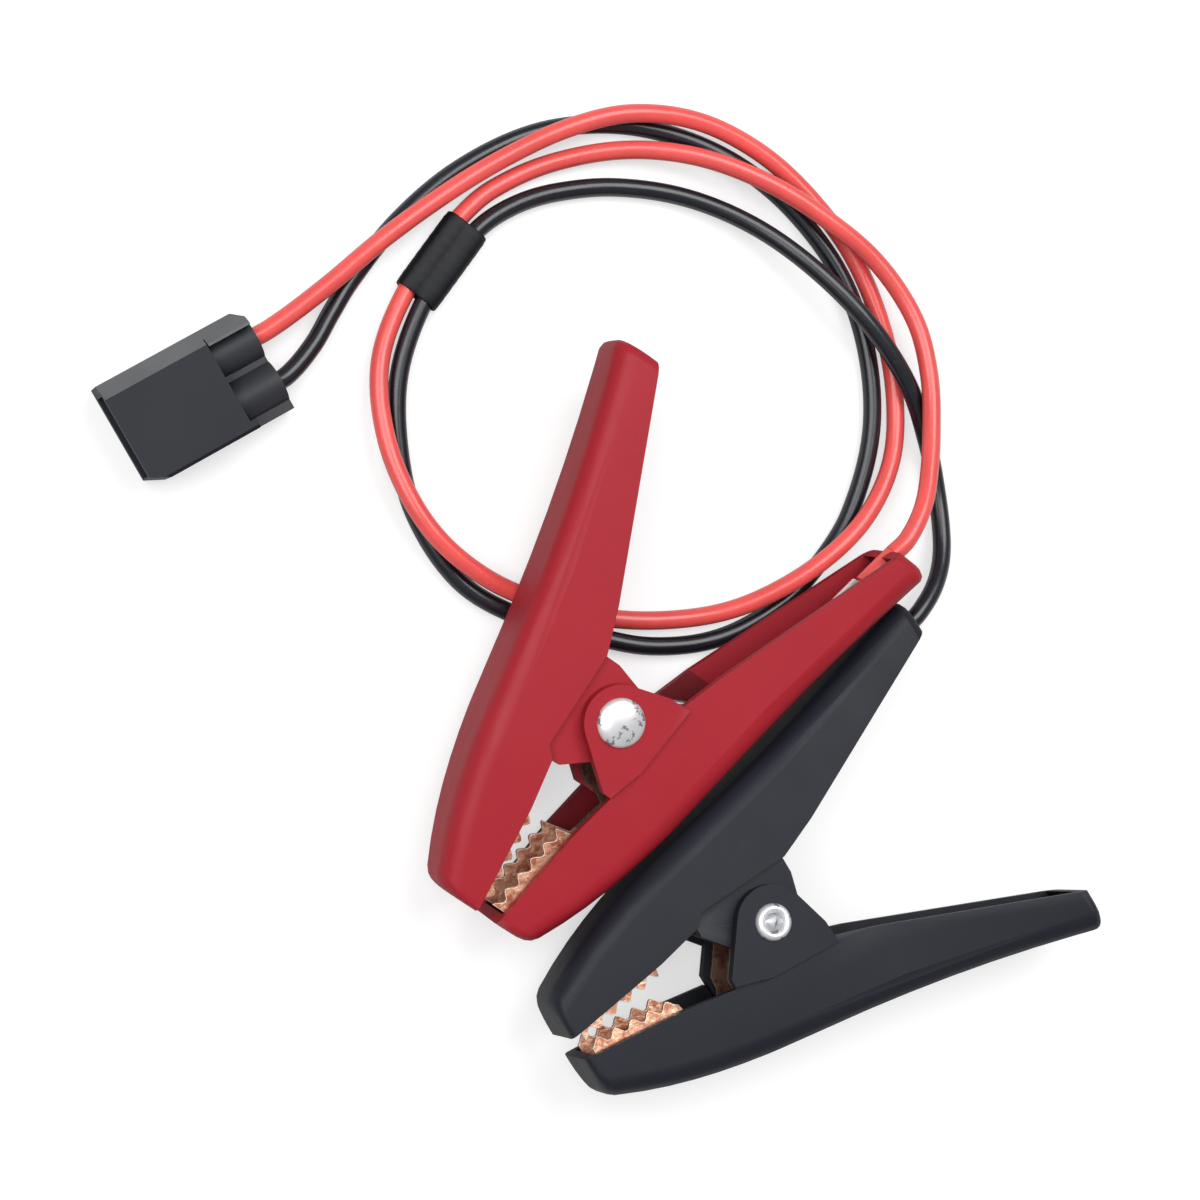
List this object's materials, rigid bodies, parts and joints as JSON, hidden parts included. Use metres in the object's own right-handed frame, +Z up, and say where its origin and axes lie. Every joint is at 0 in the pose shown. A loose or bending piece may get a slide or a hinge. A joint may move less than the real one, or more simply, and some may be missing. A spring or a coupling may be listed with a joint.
{
  "type": "battery clip lead",
  "caption": "Red and black insulated spring battery clamps on red and black leads, loosely looped, joined by a sleeve and ending in a flat two-pole plug.",
  "frame": {"origin": "middle of the two clamps as they lie, on the surface that they lie on", "axes": "+Z up; +X towards the right of the laid-out lead, with the plug at -X; +Y towards the loops; +Z is the clamps' shortest extent"},
  "size_m": [0.1926, 0.1865, 0.0272],
  "materials": {
    "red_plastic": "fine matte moulding",
    "black_plastic": "fine matte moulding",
    "copper_plate": "copper-plated sheet, bright edges",
    "bright_metal": "nickel plate, polished",
    "spring_steel": "drawn wire",
    "red_silicone": "smooth silicone, slight sheen",
    "black_silicone": "smooth silicone, slight sheen",
    "sleeve_rubber": "shrunk sleeve, satin",
    "plug_plastic": "satin nylon"
  },
  "bodies": {
    "lead_set": {"red_lead_shell": "red_plastic", "red_lead_contact": "copper_plate", "red_pivot_rivet": "bright_metal", "red_spacer_bush": "bright_metal", "red_torsion_spring": "spring_steel", "red_lead_contact_rivets": "bright_metal", "red_ferrule": "bright_metal", "red_lead_tail": "red_silicone", "black_lead_shell": "black_plastic", "black_lead_contact": "copper_plate", "black_pivot_rivet": "bright_metal", "black_spacer_bush": "bright_metal", "black_torsion_spring": "spring_steel", "black_lead_contact_rivets": "bright_metal", "black_ferrule": "bright_metal", "black_lead_tail": "black_silicone", "red_lead": "red_silicone", "black_lead": "black_silicone", "cable_sleeve": "sleeve_rubber", "plug_housing": "plug_plastic", "plug_contact_red": "bright_metal", "plug_contact_black": "bright_metal"},
    "red_free_half": {"red_free_shell": "red_plastic", "red_free_contact": "copper_plate", "red_free_contact_rivets": "bright_metal"},
    "black_free_half": {"black_free_shell": "black_plastic", "black_free_contact": "copper_plate", "black_free_contact_rivets": "bright_metal"}
  },
  "joints": [
    {"name": "red_clamp_pivot", "type": "hinge", "parent": "lead_set", "child": "red_free_half", "pos_m": [-0.0336, 0.0002, 0.0141], "axis": [-0.0079, 0.0638, -0.9979], "range_deg": [0, 38], "stiffness_Nm_per_rad": 0.6, "springref_deg": -34.38, "deforming": ["red_torsion_spring"]},
    {"name": "black_clamp_pivot", "type": "hinge", "parent": "lead_set", "child": "black_free_half", "pos_m": [-0.004, -0.039, 0.0142], "axis": [-0.0055, 0.098, 0.9952], "range_deg": [0, 38], "stiffness_Nm_per_rad": 0.6, "springref_deg": -34.38, "deforming": ["black_torsion_spring"]}
  ]
}
